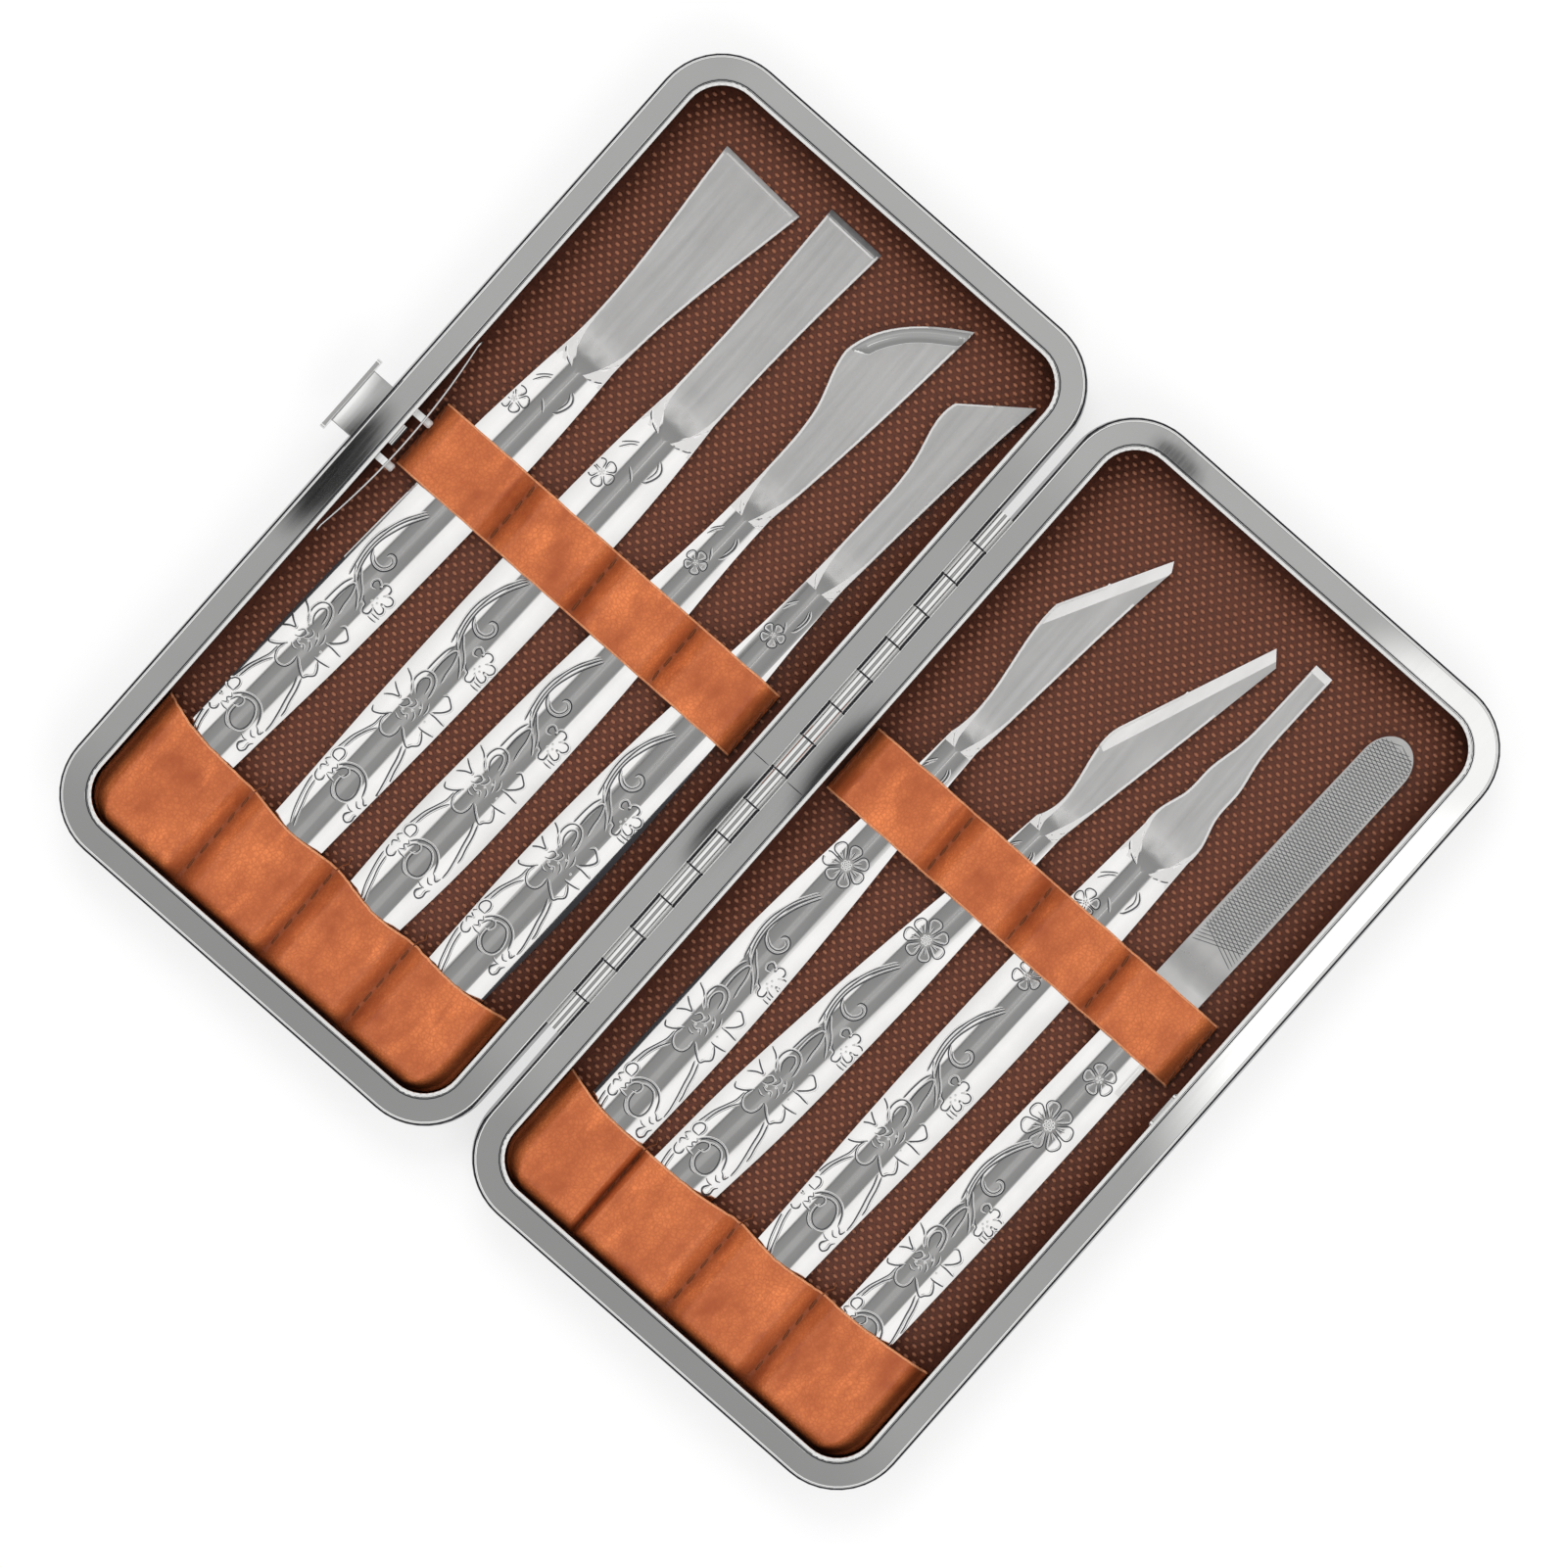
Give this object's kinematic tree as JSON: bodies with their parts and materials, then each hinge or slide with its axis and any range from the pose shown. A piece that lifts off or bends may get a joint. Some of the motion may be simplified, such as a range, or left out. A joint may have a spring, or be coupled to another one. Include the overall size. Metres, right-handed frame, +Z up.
{
  "type": "pedicure set",
  "caption": "Hinged metal-framed case lying open, leather pockets and bands in both halves holding one-piece steel foot chisels, knives and a file; side slide latch.",
  "frame": {"origin": "middle of the overall box, on the plane the open case rests on", "axes": "+Z up out of the open halves; +Y along the hinge towards the tool tips; the latch is at -X"},
  "size_m": [0.1712, 0.1588, 0.0135],
  "materials": {
    "frame_metal": "bright nickel plate",
    "tool_steel": "polished stainless steel, fine engraved floral lines",
    "spring_steel": "bright spring strip",
    "tan_leather": "smooth tan leather",
    "cover_leather": "grained brown leather",
    "lining_leather": "dark brown sheet embossed with small raised dots",
    "foam": "soft foam sheet",
    "board": "grey-brown fibre board"
  },
  "bodies": {
    "left_half": {"left_frame": "frame_metal", "left_cover": "cover_leather", "left_padding": "foam", "left_board": "board", "left_lining": "lining_leather", "left_hinge_leaf": "frame_metal", "left_pocket": "tan_leather", "left_band": "tan_leather", "hinge_pin": "spring_steel", "latch_spring": "spring_steel"},
    "right_half": {"right_frame": "frame_metal", "right_cover": "cover_leather", "right_padding": "foam", "right_board": "board", "right_lining": "lining_leather", "right_hinge_leaf": "frame_metal", "right_pocket": "tan_leather", "right_band": "tan_leather", "catch_plate": "frame_metal"},
    "latch": {"latch_slider": "frame_metal", "latch_studs": "frame_metal"},
    "wide_scraper_body": {"wide_scraper": "tool_steel"},
    "narrow_chisel_body": {"narrow_chisel": "tool_steel"},
    "belly_knife_body": {"belly_knife": "tool_steel"},
    "angled_knife_body": {"angled_knife": "tool_steel"},
    "skew_knife_body": {"skew_knife": "tool_steel"},
    "long_skew_knife_body": {"long_skew_knife": "tool_steel"},
    "waisted_chisel_body": {"waisted_chisel": "tool_steel"},
    "foot_file_body": {"foot_file": "tool_steel"}
  },
  "joints": [
    {"name": "case_hinge", "type": "hinge", "parent": "left_half", "child": "right_half", "pos_m": [0.00202, 0, 0.0095], "axis": [0, -1, 0], "range_deg": [0, 180]},
    {"name": "latch_slide", "type": "slide", "parent": "left_half", "child": "latch", "axis": [-1, 0, 0], "range_m": [0, 0.0012], "stiffness_N_per_m": 900, "deforming": ["latch_spring"]},
    {"name": "wide_scraper_slide", "type": "slide", "parent": "left_half", "child": "wide_scraper_body", "axis": [0.0524, 0.9986, 0], "range_m": [0, 0.007]},
    {"name": "narrow_chisel_slide", "type": "slide", "parent": "left_half", "child": "narrow_chisel_body", "axis": [0.0263, 0.9997, 0], "range_m": [0, 0.0036]},
    {"name": "belly_knife_slide", "type": "slide", "parent": "left_half", "child": "belly_knife_body", "axis": [0.04, 0.9992, 0], "range_m": [0, 0.0032]},
    {"name": "angled_knife_slide", "type": "slide", "parent": "left_half", "child": "angled_knife_body", "axis": [0.03, 0.9996, 0], "range_m": [0, 0.0028]},
    {"name": "skew_knife_slide", "type": "slide", "parent": "right_half", "child": "skew_knife_body", "axis": [0.022, 0.9998, 0], "range_m": [0, 0.009]},
    {"name": "long_skew_knife_slide", "type": "slide", "parent": "right_half", "child": "long_skew_knife_body", "axis": [0.0807, 0.9967, 0], "range_m": [0, 0.0088]},
    {"name": "waisted_chisel_slide", "type": "slide", "parent": "right_half", "child": "waisted_chisel_body", "axis": [0.025, 0.9997, 0], "range_m": [0, 0.007]},
    {"name": "foot_file_slide", "type": "slide", "parent": "right_half", "child": "foot_file_body", "axis": [0.0235, 0.9997, 0], "range_m": [0, 0.0068]}
  ]
}
